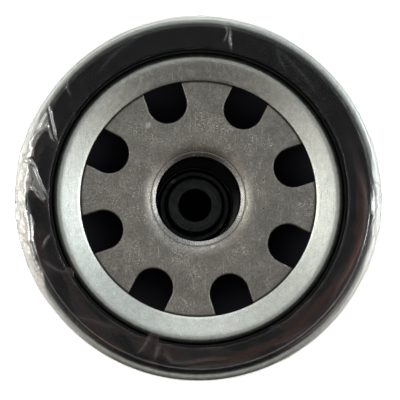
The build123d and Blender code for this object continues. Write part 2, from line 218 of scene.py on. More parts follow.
class Nodes:
    """Short ways to add nodes to a node tree."""

    def __init__(self, tree):
        self.nodes = tree.nodes
        self.links = tree.links

    def add(self, kind, **settings):
        node = self.nodes.new(kind)
        for key, value in settings.items():
            setattr(node, key, value)
        return node

    def feed(self, socket, value):
        if isinstance(value, bpy.types.NodeSocket):
            self.links.new(value, socket)
        else:
            socket.default_value = value

    def vector(self, operation, a, b=None, scale=None):
        node = self.add("ShaderNodeVectorMath", operation=operation)
        self.feed(node.inputs[0], a)
        if b is not None:
            self.feed(node.inputs[1], b)
        if scale is not None:
            node.inputs["Scale"].default_value = scale
        return node.outputs["Value" if operation == "LENGTH" else "Vector"]

    def maths(self, operation, *values, clamp=False):
        node = self.add("ShaderNodeMath", operation=operation, use_clamp=clamp)
        for socket, value in zip(node.inputs, values):
            self.feed(socket, value)
        return node.outputs[0]

    def span(self, value, low, high, to_low=0.0, to_high=1.0, smooth=False):
        node = self.add("ShaderNodeMapRange", clamp=True)
        node.interpolation_type = "SMOOTHSTEP" if smooth else "LINEAR"
        for socket, v in zip(node.inputs, (value, low, high, to_low, to_high)):
            self.feed(socket, v)
        return node.outputs["Result"]

    def blend(self, share, a, b, mode="MIX"):
        node = self.add("ShaderNodeMix", data_type="RGBA", blend_type=mode)
        self.feed(node.inputs["Factor"], share)
        self.feed(node.inputs[6], a)
        self.feed(node.inputs[7], b)
        return node.outputs[2]

    def spread(self, noise, to_low=0.0, to_high=1.0):
        """A noise's usual values, stretched to the whole span."""
        return self.span(noise, 0.3, 0.7, to_low, to_high)

    def times(self, a, b):
        return self.maths("MULTIPLY", a, b)

    def split(self, vector):
        node = self.add("ShaderNodeSeparateXYZ")
        self.feed(node.inputs[0], vector)
        return node.outputs


class Tree(Nodes):
    """Material with a Principled shader. Coordinates are the piece's own, in millimetres."""

    def __init__(self, name):
        self.material = bpy.data.materials.new(name)
        self.material.use_nodes = True
        super().__init__(self.material.node_tree)
        self.shader = self.nodes["Principled BSDF"]
        self.place = self.add("ShaderNodeTexCoord").outputs["Object"]
        self.mm = self.vector("SCALE", self.place, scale=1 / MM)

    def stretched(self, turn, factors):
        """Coordinates turned about Z in degrees, then scaled, for scratches and grain."""
        node = self.add("ShaderNodeMapping", vector_type="POINT")
        self.feed(node.inputs["Vector"], self.mm)
        node.inputs["Rotation"].default_value = (0, 0, math.radians(turn))
        node.inputs["Scale"].default_value = factors
        return node.outputs["Vector"]

    def radius(self, centre=(0, 0, 0)):
        """Distance from an upright line through the centre."""
        offset = self.vector("SUBTRACT", self.mm, centre)
        return self.vector("LENGTH", self.vector("MULTIPLY", offset, (1, 1, 0)))

    def polar(self, factors):
        """Coordinates of radius, angle and height, so that a pattern runs round the axis."""
        x, y, z = self.split(self.mm)
        angle = self.maths("ARCTAN2", y, x)
        join = self.add("ShaderNodeCombineXYZ")
        self.feed(join.inputs[0], self.times(self.radius(), factors[0]))
        self.feed(join.inputs[1], self.times(angle, factors[1]))
        self.feed(join.inputs[2], self.times(z, factors[2]))
        return join.outputs[0]

    def noise(self, scale, detail=4, rough=0.55, where=None, distort=0.0):
        node = self.add("ShaderNodeTexNoise")
        self.feed(node.inputs["Vector"], self.mm if where is None else where)
        node.inputs["Scale"].default_value = scale
        node.inputs["Detail"].default_value = detail
        node.inputs["Roughness"].default_value = rough
        node.inputs["Distortion"].default_value = distort
        return node.outputs["Fac"]

    def cells(self, scale, where=None, feature="F1", output="Distance"):
        node = self.add("ShaderNodeTexVoronoi", feature=feature)
        self.feed(node.inputs["Vector"], self.mm if where is None else where)
        node.inputs["Scale"].default_value = scale
        return node.outputs[output]

    def bump(self, height, distance, strength=1.0, under=None):
        node = self.add("ShaderNodeBump")
        self.feed(node.inputs["Height"], height)
        node.inputs["Distance"].default_value = distance * MM
        node.inputs["Strength"].default_value = strength
        if under is not None:
            self.feed(node.inputs["Normal"], under)
        return node.outputs["Normal"]

    def edge_wear(self, low=0.52, high=0.6):
        """1 on sharp convex edges."""
        point = self.add("ShaderNodeNewGeometry").outputs["Pointiness"]
        return self.span(point, low, high)

    def set(self, **values):
        names = {"color": "Base Color", "rough": "Roughness", "metal": "Metallic", "normal": "Normal",
                 "alpha": "Alpha", "coat": "Coat Weight", "coat_rough": "Coat Roughness",
                 "specular": "Specular IOR Level", "ior": "IOR", "aniso": "Anisotropic"}
        for key, value in values.items():
            self.feed(self.shader.inputs[names[key]], value)
        return self.material


def scratches(tree, turn, fine, long, low=0.62, high=0.72):
    """Thin lines that run one way, as a mask."""
    where = tree.stretched(turn, (fine, long, long))
    lines = tree.noise(1.0, detail=2, rough=0.6, where=where, distort=0.15)
    return tree.span(lines, low, high)


# ---------------------------------------------------------------- materials


def zinc():
    tree = Tree("galvanised_zinc")
    spangle = tree.split(tree.cells(0.55, output="Color"))[0]
    flecks = tree.spread(tree.noise(0.9, detail=6, rough=0.65))
    across = scratches(tree, 38, 9.0, 0.35)
    other = scratches(tree, -52, 12.0, 0.5, 0.66, 0.75)
    marks = tree.maths("MAXIMUM", across, other)
    round_lines = tree.noise(1.0, detail=3, where=tree.polar((7.0, 1.2, 3.0)))
    base = tree.blend(flecks, (0.56, 0.60, 0.56, 1), (0.74, 0.785, 0.735, 1))
    base = tree.blend(tree.times(spangle, 0.22), base, (0.45, 0.49, 0.465, 1))
    base = tree.blend(tree.times(marks, 0.6), base, (0.34, 0.37, 0.35, 1))
    grains = tree.noise(5.0, detail=4, rough=0.85)
    base = tree.blend(tree.span(grains, 0.52, 0.40, 0.0, 0.55), base, (0.36, 0.39, 0.37, 1))
    regions = tree.span(tree.noise(0.3, detail=2), 0.38, 0.58, 0.3, 0.9)
    bright = tree.times(tree.span(grains, 0.57, 0.64), regions)
    base = tree.blend(bright, base, (0.95, 0.97, 0.94, 1))
    z = tree.split(tree.mm)[2]
    radius = tree.radius()
    # Painted shade: the ridge's outer wall and the groove under the gasket are darkened to near black.
    groove_shade = tree.times(tree.span(radius, 29.9, 30.2), tree.span(z, 82.3, 81.6))
    groove_shade = tree.times(groove_shade, tree.span(radius, 36.2, 35.9))
    base = tree.blend(tree.times(groove_shade, 0.9), base, (0.03, 0.033, 0.035, 1))
    rough = tree.maths("ADD", tree.span(flecks, 0, 1, 0.30, 0.42), tree.times(marks, 0.12))
    normal = tree.bump(tree.noise(2.2, detail=6, rough=0.7), 0.022)
    normal = tree.bump(round_lines, 0.008, under=normal)
    normal = tree.bump(marks, -0.014, under=normal)
    return tree.set(color=base, rough=rough, metal=1.0, normal=normal)


def plate_steel():
    tree = Tree("pressed_steel")
    mottle = tree.noise(0.28, detail=7, rough=0.62)
    grain = tree.noise(2.6, detail=6, rough=0.78)
    radius = tree.radius()
    from_ring = tree.maths("ABSOLUTE", tree.maths("SUBTRACT", radius, 14.4))
    draw_ring = tree.span(from_ring, 0.3, 2.0, 1.0, 0.0, smooth=True)
    patches = tree.span(tree.noise(0.35, detail=3), 0.42, 0.60)
    pits = tree.span(tree.noise(2.2, detail=5, rough=0.8), 0.52, 0.62)
    ring_pits = tree.times(tree.times(draw_ring, patches), pits)
    from_slots = tree.radius(centre=(-20.5, 0.5, 0))
    clouds = tree.span(tree.noise(0.22, detail=2), 0.50, 0.62)
    dusty = tree.maths("MAXIMUM", clouds, tree.span(from_slots, 6.0, 2.5))
    salt = tree.times(tree.span(tree.noise(3.6, detail=4, rough=0.8), 0.56, 0.64), dusty)
    dots = tree.span(tree.cells(0.75), 0.10, 0.055)
    across = scratches(tree, 62, 10.0, 0.28, 0.64, 0.73)
    along = scratches(tree, -8, 14.0, 0.4, 0.67, 0.75)
    marks = tree.maths("MAXIMUM", across, along)
    cut = tree.span(radius, 9.98, 9.90)
    # Painted shadow: the lid's lip casts it on the plate, near black from just inside the lip outwards.
    lip_shadow = tree.times(tree.span(radius, 24.05, 24.45, smooth=True), 0.85)
    base = tree.blend(tree.spread(mottle), (0.275, 0.268, 0.238, 1), (0.45, 0.44, 0.40, 1))
    base = tree.blend(tree.span(grain, 0.42, 0.62, 0.0, 0.75), base, (0.17, 0.165, 0.148, 1))
    base = tree.blend(tree.times(ring_pits, 0.85), base, (0.06, 0.057, 0.05, 1))
    base = tree.blend(tree.times(marks, 0.4), base, (0.62, 0.61, 0.58, 1))
    base = tree.blend(tree.times(salt, 0.8), base, (0.88, 0.87, 0.82, 1))
    base = tree.blend(tree.times(dots, 0.6), base, (0.80, 0.79, 0.75, 1))
    base = tree.blend(tree.times(tree.edge_wear(), 0.6), base, (0.78, 0.77, 0.74, 1))
    base = tree.blend(cut, base, (0.33, 0.33, 0.31, 1))
    # Painted shade: darker from just below the mouth down the threaded bore.
    base = tree.blend(tree.span(tree.split(tree.mm)[2], 78.7, 78.2), base, (0.15, 0.16, 0.15, 1))
    # Painted shadow under the lid's lip.
    base = tree.blend(lip_shadow, base, (0.02, 0.02, 0.02, 1))
    rough = tree.maths("MULTIPLY_ADD", cut, -0.16, tree.spread(grain, 0.34, 0.50))
    turned_lines = tree.noise(1.0, detail=2, where=tree.polar((9.0, 0.4, 3.0)))
    normal = tree.bump(grain, 0.035)
    normal = tree.bump(turned_lines, 0.010, under=normal)
    normal = tree.bump(marks, -0.012, under=normal)
    normal = tree.bump(tree.maths("ADD", ring_pits, salt), -0.03, under=normal)
    return tree.set(color=base, rough=rough, metal=1.0, normal=normal)


def gasket_rubber():
    tree = Tree("nitrile_rubber")
    skin = tree.noise(6.0, detail=3)
    bloom = tree.span(tree.noise(0.35, detail=5), 0.45, 0.75)
    base = tree.blend(bloom, (0.003, 0.003, 0.004, 1), (0.009, 0.009, 0.010, 1))
    rough = tree.spread(skin, 0.38, 0.55)
    return tree.set(color=base, rough=rough, normal=tree.bump(skin, 0.015), specular=0.17)


def valve_rubber():
    tree = Tree("valve_rubber")
    skin = tree.noise(4.0, detail=4)
    rings = tree.noise(1.0, detail=2, where=tree.polar((5.0, 0.8, 2.0)))
    base = tree.blend(tree.spread(skin), (0.004, 0.004, 0.008, 1), (0.010, 0.010, 0.017, 1))
    normal = tree.bump(rings, 0.01, under=tree.bump(skin, 0.01))
    return tree.set(color=base, rough=tree.spread(skin, 0.5, 0.68), normal=normal, specular=0.2)


def black_enamel():
    tree = Tree("black_enamel")
    peel = tree.noise(0.9, detail=2)
    dust = tree.span(tree.noise(9.0, detail=2), 0.68, 0.74)
    wear = tree.edge_wear(0.54, 0.62)
    base = tree.blend(tree.spread(peel), (0.006, 0.006, 0.007, 1), (0.010, 0.010, 0.011, 1))
    base = tree.blend(tree.times(dust, 0.25), base, (0.10, 0.10, 0.10, 1))
    base = tree.blend(tree.times(wear, 0.3), base, (0.08, 0.08, 0.085, 1))
    rough = tree.maths("ADD", tree.spread(peel, 0.10, 0.18), tree.times(dust, 0.3))
    return tree.set(color=base, rough=rough, normal=tree.bump(peel, 0.012), coat=0.15, coat_rough=0.08,
                    specular=0.35)


def tin_plate():
    tree = Tree("tin_plate")
    cloud = tree.noise(0.5, detail=6, rough=0.6)
    lines = tree.noise(1.0, detail=3, where=tree.polar((6.0, 1.0, 2.0)))
    base = tree.blend(tree.spread(cloud), (0.44, 0.46, 0.44, 1), (0.62, 0.64, 0.62, 1))
    base = tree.blend(tree.times(tree.edge_wear(), 0.5), base, (0.80, 0.81, 0.80, 1))
    x, y, z = tree.split(tree.mm)
    # Painted shade: tin plate low in the filter, below about 20 mm, is darkened towards near black, more
    # towards +Y.
    side = tree.span(tree.maths("MULTIPLY_ADD", x, -0.25, y), -7.0, 3.0, 0.45, 0.97, smooth=True)
    base = tree.blend(tree.times(side, tree.span(z, 24.0, 18.0)), base, (0.010, 0.012, 0.012, 1))
    rough = tree.spread(lines, 0.24, 0.38)
    return tree.set(color=base, rough=rough, metal=1.0, normal=tree.bump(lines, 0.008))


def tube_steel():
    tree = Tree("oiled_tube_steel")
    cloud = tree.noise(0.4, detail=6)
    lines = tree.noise(1.0, detail=3, where=tree.stretched(0, (0.6, 0.6, 6.0)))
    base = tree.blend(tree.spread(cloud), (0.30, 0.33, 0.32, 1), (0.46, 0.50, 0.48, 1))
    return tree.set(color=base, rough=tree.spread(lines, 0.25, 0.40), metal=1.0,
                    normal=tree.bump(lines, 0.008))


def shaded_tin_plate():
    """Tin plate for the parts deep inside the filter, darkened as painted shade."""
    tree = Tree("tin_plate_painted_shade")
    cloud = tree.noise(0.6, detail=6, rough=0.6)
    lines = tree.noise(1.0, detail=3, where=tree.polar((6.0, 1.0, 2.0)))
    base = tree.blend(tree.spread(cloud), (0.06, 0.068, 0.065, 1), (0.12, 0.132, 0.125, 1))
    base = tree.blend(tree.times(tree.edge_wear(), 0.7), base, (0.45, 0.48, 0.45, 1))
    return tree.set(color=base, rough=tree.spread(lines, 0.22, 0.36), metal=1.0,
                    normal=tree.bump(lines, 0.008))


def black_nylon():
    tree = Tree("black_nylon")
    skin = tree.noise(5.0, detail=4)
    base = tree.blend(tree.spread(skin), (0.003, 0.003, 0.004, 1), (0.007, 0.007, 0.008, 1))
    return tree.set(color=base, rough=tree.spread(skin, 0.5, 0.7), normal=tree.bump(skin, 0.01),
                    specular=0.15)


def spring_wire():
    tree = Tree("spring_wire")
    cloud = tree.noise(0.8, detail=5)
    drawn = tree.noise(7.0, detail=3)
    base = tree.blend(tree.spread(cloud), (0.16, 0.16, 0.17, 1), (0.32, 0.32, 0.34, 1))
    return tree.set(color=base, rough=tree.spread(drawn, 0.25, 0.42), metal=1.0,
                    normal=tree.bump(drawn, 0.006))


def filter_paper():
    tree = Tree("filter_paper")
    fibres = tree.noise(1.0, detail=6, rough=0.7, where=tree.stretched(15, (4.0, 4.0, 1.2)))
    cloud = tree.noise(0.5, detail=4)
    base = tree.blend(tree.spread(fibres), (0.55, 0.42, 0.20, 1), (0.78, 0.66, 0.40, 1))
    base = tree.blend(tree.span(cloud, 0.4, 0.8, 0.0, 0.4), base, (0.48, 0.34, 0.15, 1))
    return tree.set(color=base, rough=tree.spread(fibres, 0.75, 0.92), normal=tree.bump(fibres, 0.03))


def cured_paste(name, scale, dark, light, rough, depth):
    """Lumpy cured plastisol or sealant."""
    tree = Tree(name)
    lumps = tree.noise(scale, detail=4)
    base = tree.blend(tree.spread(lumps), (*dark, 1), (*light, 1))
    return tree.set(color=base, rough=tree.spread(lumps, *rough), normal=tree.bump(lumps, depth))


def clear_film():
    """Clear film as a faint mirror, stronger at glancing angles, where it is loose and clouded, and on folds
    and patches with a painted sheen; a painted brown reflection tints it over the gasket.
    """
    tree = Tree("shrink_film")
    crinkle = tree.noise(0.5, detail=4, rough=0.55, distort=0.8)
    cells = tree.cells(0.6, where=tree.stretched(35, (1.0, 2.2, 1.0)), feature="DISTANCE_TO_EDGE")
    folds = tree.span(cells, 0.0, 0.05, 1.0, 0.0)
    haze = tree.span(tree.noise(0.22, detail=6, rough=0.65), 0.5, 0.8)
    cloud = tree.add("ShaderNodeAttribute", attribute_name="cloud").outputs["Fac"]
    x, y, z = tree.split(tree.mm)
    round_axis = tree.polar((0.30, 3.2, 0.3))
    # Painted reflection: streaks and a band over the gasket, towards -Y and +X, tint the film brown and make
    # it a little more opaque.
    painted_reflection_streaks = tree.span(tree.noise(1.0, detail=3, rough=0.5, where=round_axis, distort=0.6), 0.46, 0.56)
    radius = tree.radius()
    wander = tree.maths("MULTIPLY_ADD", tree.noise(0.12, detail=2), 3.2, 31.9)
    away = tree.maths("ABSOLUTE", tree.maths("SUBTRACT", radius, wander))
    painted_reflection_band = tree.span(away, 0.3, 1.3, 1.0, 0.0, smooth=True)
    towards = tree.maths("MULTIPLY_ADD", y, -0.66, tree.times(x, 0.75))
    painted_reflection_band = tree.times(painted_reflection_band, tree.span(towards, 12.0, 30.0, 0.0, 1.3, smooth=True))
    painted_brown_reflection = tree.times(painted_reflection_streaks, tree.span(tree.maths("MULTIPLY_ADD", x, 0.45, y), 9.0, -9.0, smooth=True))
    painted_brown_reflection = tree.maths("MAXIMUM", tree.times(painted_brown_reflection, 0.7), painted_reflection_band)
    painted_brown_reflection = tree.times(painted_brown_reflection, tree.span(z, 85.2, 85.9))
    gloss = tree.add("ShaderNodeLayerWeight")
    gloss.inputs["Blend"].default_value = 0.30
    alpha = tree.maths("MULTIPLY_ADD", tree.maths("POWER", gloss.outputs["Facing"], 2.5), 0.32, 0.007)
    for part, weight in ((haze, 0.012), (folds, 0.010), (painted_brown_reflection, 0.050), (cloud, 0.62)):
        alpha = tree.maths("MULTIPLY_ADD", part, weight, alpha, clamp=True)
    normal = tree.bump(folds, 0.012, under=tree.bump(crinkle, 0.035))
    tint = tree.blend(haze, (0.92, 0.95, 0.98, 1), (0.97, 0.95, 0.92, 1))
    tint = tree.blend(cloud, tint, (0.98, 0.97, 0.90, 1))
    # Painted brown reflection in the film's tint.
    tint = tree.blend(tree.times(painted_brown_reflection, tree.span(cloud, 0.0, 0.2, 1.0, 0.0)), tint, (0.62, 0.36, 0.30, 1))
    rough = tree.maths("MULTIPLY_ADD", cloud, 0.32, tree.span(haze, 0, 1, 0.06, 0.20))
    return tree.set(color=tint, rough=rough, metal=1.0, alpha=alpha, normal=normal)


MATERIALS = {
    "zinc": zinc(), "steel": plate_steel(), "nitrile": gasket_rubber(), "valve_rubber": valve_rubber(),
    "black_paint": black_enamel(), "tinplate": tin_plate(), "tube_steel": tube_steel(),
    "spring_steel": spring_wire(), "filter_paper": filter_paper(), "film": clear_film(),
    # oiled_tinplate is the record's slot; its material is tin plate darkened as painted shade.
    "oiled_tinplate": shaded_tin_plate(), "black_nylon": black_nylon(),
    "plastisol": cured_paste("plastisol", 1.2, (0.24, 0.07, 0.03), (0.40, 0.14, 0.06), (0.35, 0.6), 0.05),
    "sealant": cured_paste("seam_sealant", 3.0, (0.16, 0.15, 0.13), (0.30, 0.29, 0.26), (0.5, 0.75), 0.02),
}


# ---------------------------------------------------------------- pieces


def make_gasket():
    """Moulded ring with rounded edges."""
    loop = rounded_loop(
        [(GASKET_IN, GROOVE_FLOOR), (GASKET_OUT, GROOVE_FLOOR), (GASKET_OUT, FACE), (GASKET_IN, FACE)],
        [0.6 * MM] * 4,
    )
    return lathe("gasket_ring", evened(loop, 0.5 * MM), "housing", "nitrile", MATERIALS["nitrile"],
                 replaced=["gasket"])


def lid_line():
    """Middle of the lid's sheet: seam hook, seam, groove, rolled ridge, funnel and lip."""
    half = LID_SHEET / 2
    ridge_bend, groove_bend = 1.0 * MM, 0.6 * MM
    outer, inner = SEAM_OUT - half, GROOVE_OUT + half
    wall, floor, top = GROOVE_IN - half, GROOVE_FLOOR - half, SEAM_TOP - half
    lip = (LIP + half, PLATE_TOP + 0.1 * MM + half)
    roll = (wall - ridge_bend, FACE - 3.2 * MM - half - ridge_bend)
    run, drop = roll[0] - lip[0], roll[1] - lip[1]
    slope = math.atan2(drop, run) + math.asin(ridge_bend / math.hypot(drop, run))
    peak = roll[1] + ridge_bend / math.cos(slope) + ridge_bend * math.tan(slope)
    seam_bend = (outer - inner) * 0.48
    hook = (CAN_RADIUS + 0.05 * MM + half, SEAM_LOW + half)
    seam = [hook, (outer, SEAM_LOW + half), (outer, top), (inner, top)]
    groove = [(inner, floor), (wall, floor), (wall, peak), lip]
    bends = [half + 0.02 * MM, seam_bend, seam_bend, groove_bend, groove_bend, ridge_bend]
    return rounded(seam + groove, bends, 10)


def make_lid():
    loop = sheet_loop(evened(lid_line(), 0.6 * MM), LID_SHEET)

    def pressed(radius, height, angle):
        """Slight waves that pressing leaves in thin sheet."""
        wave = 0.012 * MM * np.sin(5 * angle + 0.7) + 0.008 * MM * np.sin(11 * angle + 2.0)
        inside = np.clip((GROOVE_IN - radius) / (4 * MM), 0, 1)
        return radius, height + wave * inside

    return lathe("lid", loop, "housing", "zinc", MATERIALS["zinc"], shape=pressed, replaced=["seaming_lid"])


SLOT_COUNT = 8
SLOT_TURN = math.radians(18.2)
SLOT_WIDTH = 8.2 * MM
SLOT_IN = 16.8 * MM
SLOT_OUT = LIP + 0.55 * MM
SLOT_ROLL = 0.4 * MM
INNER_EDGE = 13.5 * MM
UNDERSIDE_ROWS = 5
ROLL_STEPS = 6
TOP_ROWS = 7


def slot_loop():
    """One slot along +X: a round inner end, straight sides and an outer end that follows the plate."""
    half = SLOT_WIDTH / 2
    centre = SLOT_IN + half
    round_end = [
        (centre + half * math.cos(a), half * math.sin(a))
        for a in np.linspace(math.pi / 2, 3 * math.pi / 2, 41)
    ]
    reach_angle = math.asin(half / SLOT_OUT)
    outer_angles = np.linspace(-reach_angle, reach_angle, 13)
    outer_end = [(SLOT_OUT * math.cos(a), SLOT_OUT * math.sin(a)) for a in outer_angles]
    return np.array(round_end + outer_end)


def wedge_loop():
    """The eighth of the plate round one slot, from the collar's mouth to the rim."""
    half = math.pi / SLOT_COUNT
    inner = [(INNER_EDGE * math.cos(a), INNER_EDGE * math.sin(a)) for a in np.linspace(half, -half, 181)]
    outer = [(PLATE_OUT * math.cos(a), PLATE_OUT * math.sin(a)) for a in np.linspace(-half, half, 361)]
    return np.array(inner + outer)


def ray_hit(centre, angle, loop):
    """Where a ray from the centre meets a closed outline round it."""
    way = np.array([math.cos(angle), math.sin(angle)])
    a, b = loop - centre, np.roll(loop, -1, axis=0) - centre
    side = b - a
    cross = way[0] * side[:, 1] - way[1] * side[:, 0]
    cross[abs(cross) < 1e-15] = 1e-15
    along = (a[:, 0] * side[:, 1] - a[:, 1] * side[:, 0]) / cross
    share = (a[:, 0] * way[1] - a[:, 1] * way[0]) / cross
    good = (share >= -1e-9) & (share <= 1 + 1e-9) & (along > 0)
    return centre + way * along[good].min()


def plate_wedge():
    """Rings of points from the wedge's border, below the plate to a slot's edge, over it and back on top."""
    slot, wedge = slot_loop(), wedge_loop()
    centre = np.array([SLOT_IN + SLOT_WIDTH / 2, 0.0])
    corners = wedge[[0, 180, 181, -1]] - centre
    even_angles = np.linspace(-math.pi, math.pi, 112, endpoint=False)
    angles = sorted({*even_angles, *np.arctan2(corners[:, 1], corners[:, 0])})
    inside = np.array([ray_hit(centre, a, slot) for a in angles])
    border = np.array([ray_hit(centre, a, wedge) for a in angles])
    radius = np.linalg.norm(border, axis=1)
    for level in (INNER_EDGE, PLATE_OUT):
        near = abs(radius - level) < 0.003 * MM
        border[near] *= (level / radius[near])[:, None]
    outward = np.roll(inside, -1, axis=0) - np.roll(inside, 1, axis=0)
    outward = np.stack([outward[:, 1], -outward[:, 0]], axis=1)
    outward /= np.linalg.norm(outward, axis=1)[:, None]
    outward *= np.sign(np.sum(outward * (inside - centre), axis=1))[:, None]
    rings = []
    for share in np.linspace(1, 0, UNDERSIDE_ROWS + 1)[:-1]:
        rings.append((inside + (border - inside) * share, PLATE_LOW))
    for step in range(ROLL_STEPS + 1):
        a = math.pi / 2 * step / ROLL_STEPS
        rolled = inside + outward * SLOT_ROLL * (1 - math.cos(a))
        rings.append((rolled, PLATE_TOP - SLOT_ROLL * (1 - math.sin(a))))
    edge = rings[-1][0]
    for share in np.linspace(0, 1, TOP_ROWS + 1)[1:]:
        rings.append((edge + (border - edge) * share, PLATE_TOP))
    flat = [np.column_stack([xy, np.full(len(xy), z)]) for xy, z in rings]
    flat.insert(UNDERSIDE_ROWS, np.column_stack([inside, np.full(len(inside), PLATE_LOW)]))
    return flat, border


THREAD_PITCH = 1.5875 * MM  # 16 to the inch
THREAD_DEPTH = 0.55 * MM
PLATE_DOME = 0.35 * MM
DOME_RADIUS = 12.5 * MM  # where the rise is full; it ends at twice this radius


def domed(points):
    """Raises the plate's top gently from its rim to the collar's mouth."""
    out = np.clip((np.hypot(points[:, 0], points[:, 1]) - DOME_RADIUS) / DOME_RADIUS, 0, 1)
    top = np.clip((points[:, 2] - PLATE_LOW) / (PLATE_TOP - PLATE_LOW), 0, 1)
    raised = points.copy()
    raised[:, 2] += PLATE_DOME * (1 - out**2) * top
    return raised


def collar_rows():
    """Collar's outline in three stretches: the plate's top and shoulder, the bore, and the outside."""
    mouth, slope, root = THREAD_MINOR + 1.05 * MM, math.radians(40), THREAD_MINOR + 4.0 * MM
    end = THREAD_MINOR + 2.5 * MM
    step = PLATE_LOW - 6.2 * MM
    width = 2.55 * MM
    shoulder = width / math.sin(slope)
    arc = [(mouth + width - shoulder * math.sin(a), PLATE_TOP - shoulder * (1 - math.cos(a)))
           for a in np.linspace(0, slope, 17)]
    edge = arc[-1][1]
    lead = edge - 0.6 * MM
    top = np.array([(INNER_EDGE, PLATE_TOP), *arc, (mouth - 0.03 * MM, edge - 0.06 * MM)])
    cone = [(mouth - 0.03 * MM, edge - 0.06 * MM), (mouth - 0.04 * MM, edge - 0.16 * MM)]
    for i in range(1, 4):
        radius = mouth + (THREAD_MINOR - mouth) * i / 3
        height = edge + (lead - edge) * i / 3
        cone += [(radius + 0.05 * MM, height), (radius, height - 0.05 * MM)]
    bore = evened(np.array([(THREAD_MINOR, lead), (THREAD_MINOR, COLLAR_LOW + 0.3 * MM)]), THREAD_PITCH / 16)
    outside = [(THREAD_MINOR + 0.3 * MM, COLLAR_LOW), (end - 0.3 * MM, COLLAR_LOW),
               (end, COLLAR_LOW + 0.3 * MM), (end, step), (root, step), (root, PLATE_LOW - 0.4 * MM),
               (root + 0.4 * MM, PLATE_LOW), (INNER_EDGE, PLATE_LOW)]
    outside = evened(np.array(outside), 2 * MM)
    return top, np.concatenate([np.array(cone), bore]), outside


def threaded(radius, height, angle):
    """Cuts a right-hand thread into the bore, running in below the mouth and out at the bottom."""
    turn = (height - THREAD_PITCH * angle / math.tau) / THREAD_PITCH
    share = np.abs((turn % 1.0) - 0.5) * 2
    groove = np.clip((share - 0.12) / 0.76, 0, 1)
    run = np.clip((PLATE_TOP - 1.6 * MM - height) / (0.8 * MM), 0, 1)
    run = run * np.clip((height - COLLAR_LOW) / (0.6 * MM), 0, 1)
    return radius + THREAD_DEPTH * (1 - groove) * run, height


def make_plate():
    """Base plate: eight wedges with rolled slot edges, joined to the drawn and threaded collar."""
    wedge, border = plate_wedge()
    points, faces = [], []

    def put(rows, columns):
        start = len(points)
        points.extend(rows)
        grid = grid_faces(len(rows) // columns, columns)
        faces.extend(tuple(start + k for k in f) for f in grid)

    turns = [SLOT_TURN + i * math.tau / SLOT_COUNT for i in range(SLOT_COUNT)]
    for a in turns:
        spin = np.array([[math.cos(a), math.sin(a), 0], [-math.sin(a), math.cos(a), 0], [0, 0, 1]])
        put(np.concatenate(wedge) @ spin, len(border))
    radius, angle = np.linalg.norm(border, axis=1), np.arctan2(border[:, 1], border[:, 0])
    inner = sorted(angle[abs(radius - INNER_EDGE) < 1e-7])[:-1]
    outer = sorted(angle[abs(radius - PLATE_OUT) < 1e-7])[:-1]
    ring = np.array([t + a for t in turns for a in inner])
    rim = np.array([t + a for t in turns for a in outer])
    top, bore, outside = collar_rows()
    rows = np.concatenate([turned(top, ring), turned(bore, ring, threaded), turned(outside, ring)])
    put(rows, len(ring))
    put(turned(np.array([(PLATE_OUT, PLATE_LOW), (PLATE_OUT, PLATE_TOP)]), rim), len(rim))
    points = domed(np.array(points))
    return new_piece("plate", points, faces, "housing", "steel", MATERIALS["steel"], replaced=["base_plate"],
                     sharp=50)


def can_outline(inset):
    """Can's surface from the centre of the closed end to its top edge."""
    side = CAN_RADIUS - inset
    corner = (CAN_RADIUS - REST_RADIUS) * CLOSED_END_RISE + inset
    points = [(0, inset), (REST_RADIUS, inset), (side, corner), (side, CAN_TOP)]
    return rounded(points, [6 * MM, 7 * MM - inset], 14)


FLUTE_COUNT = 14
FLUTE_DEPTH = 1.5 * MM
FLUTE_HEIGHT = 18 * MM


def fluted(radius, height, angle):
    """Presses flats for a cap wrench into the closed end's side, fading out up the can."""
    between = (angle + math.pi / FLUTE_COUNT) % (math.tau / FLUTE_COUNT) - math.pi / FLUTE_COUNT
    flat = (CAN_RADIUS - FLUTE_DEPTH * (1 - np.clip(height / FLUTE_HEIGHT, 0, 1))) / np.cos(between)
    soft = 0.15 * MM
    limited = -soft * np.logaddexp(-radius / soft, -flat / soft)
    return np.where(radius > 20 * MM, np.minimum(radius, limited), radius), height


def make_can():
    outer = evened(can_outline(0), 1.2 * MM)
    inner = evened(can_outline(CAN_WALL), 1.2 * MM)[::-1]
    loop = np.concatenate([outer, inner])

    def shape(radius, height, angle):
        inset = np.zeros_like(radius)
        inset[len(outer):] = CAN_WALL
        pressed, height = fluted(radius + inset, height, angle)
        return np.maximum(pressed - inset, 0), height

    return lathe("can", loop, "housing", "black_paint", MATERIALS["black_paint"], closed=False, shape=shape,
                 replaced=["can_shell"])


def make_valve():
    """Rubber diaphragm shaped to the valve's outline, not attached to any body."""
    flange, skirt, lip = 1.7 * MM, 1.1 * MM, 1.7 * MM
    bend = VALVE_HUB + 4.0 * MM
    top = VALVE_LOW + flange
    loop = rounded_loop(
        [(VALVE_HUB, VALVE_LOW), (bend + skirt / 2, VALVE_LOW), (VALVE_OUT, VALVE_TOP - skirt),
         (VALVE_OUT, VALVE_TOP), (VALVE_OUT - lip, VALVE_TOP), (bend - skirt / 2, top), (VALVE_HUB, top)],
        [0.2 * MM, 1.0 * MM, 0.3 * MM, 0.3 * MM, 1.0 * MM, 1.2 * MM, 0.2 * MM],
    )
    piece = lathe("drainback_diaphragm", evened(loop, 0.7 * MM), None, "valve_rubber",
                  MATERIALS["valve_rubber"], replaced=["anti_drainback_valve"])
    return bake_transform(piece)


def make_spring(name, node, turns, size):
    """Coil between the spring's lowest and highest points, not attached to any body."""
    inside, outside, low, high = size
    wire = outside - inside
    points, faces = coil_mesh((inside + outside) / 2, wire, turns, low, high)
    piece = new_piece(name, points, faces, None, "spring_steel", MATERIALS["spring_steel"], replaced=[node],
                      sharp=60)
    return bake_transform(piece)


# ---------------------------------------------------------------- shrink film

FILM_SHEET = 0.04 * MM
FILM_COLUMNS = 1080
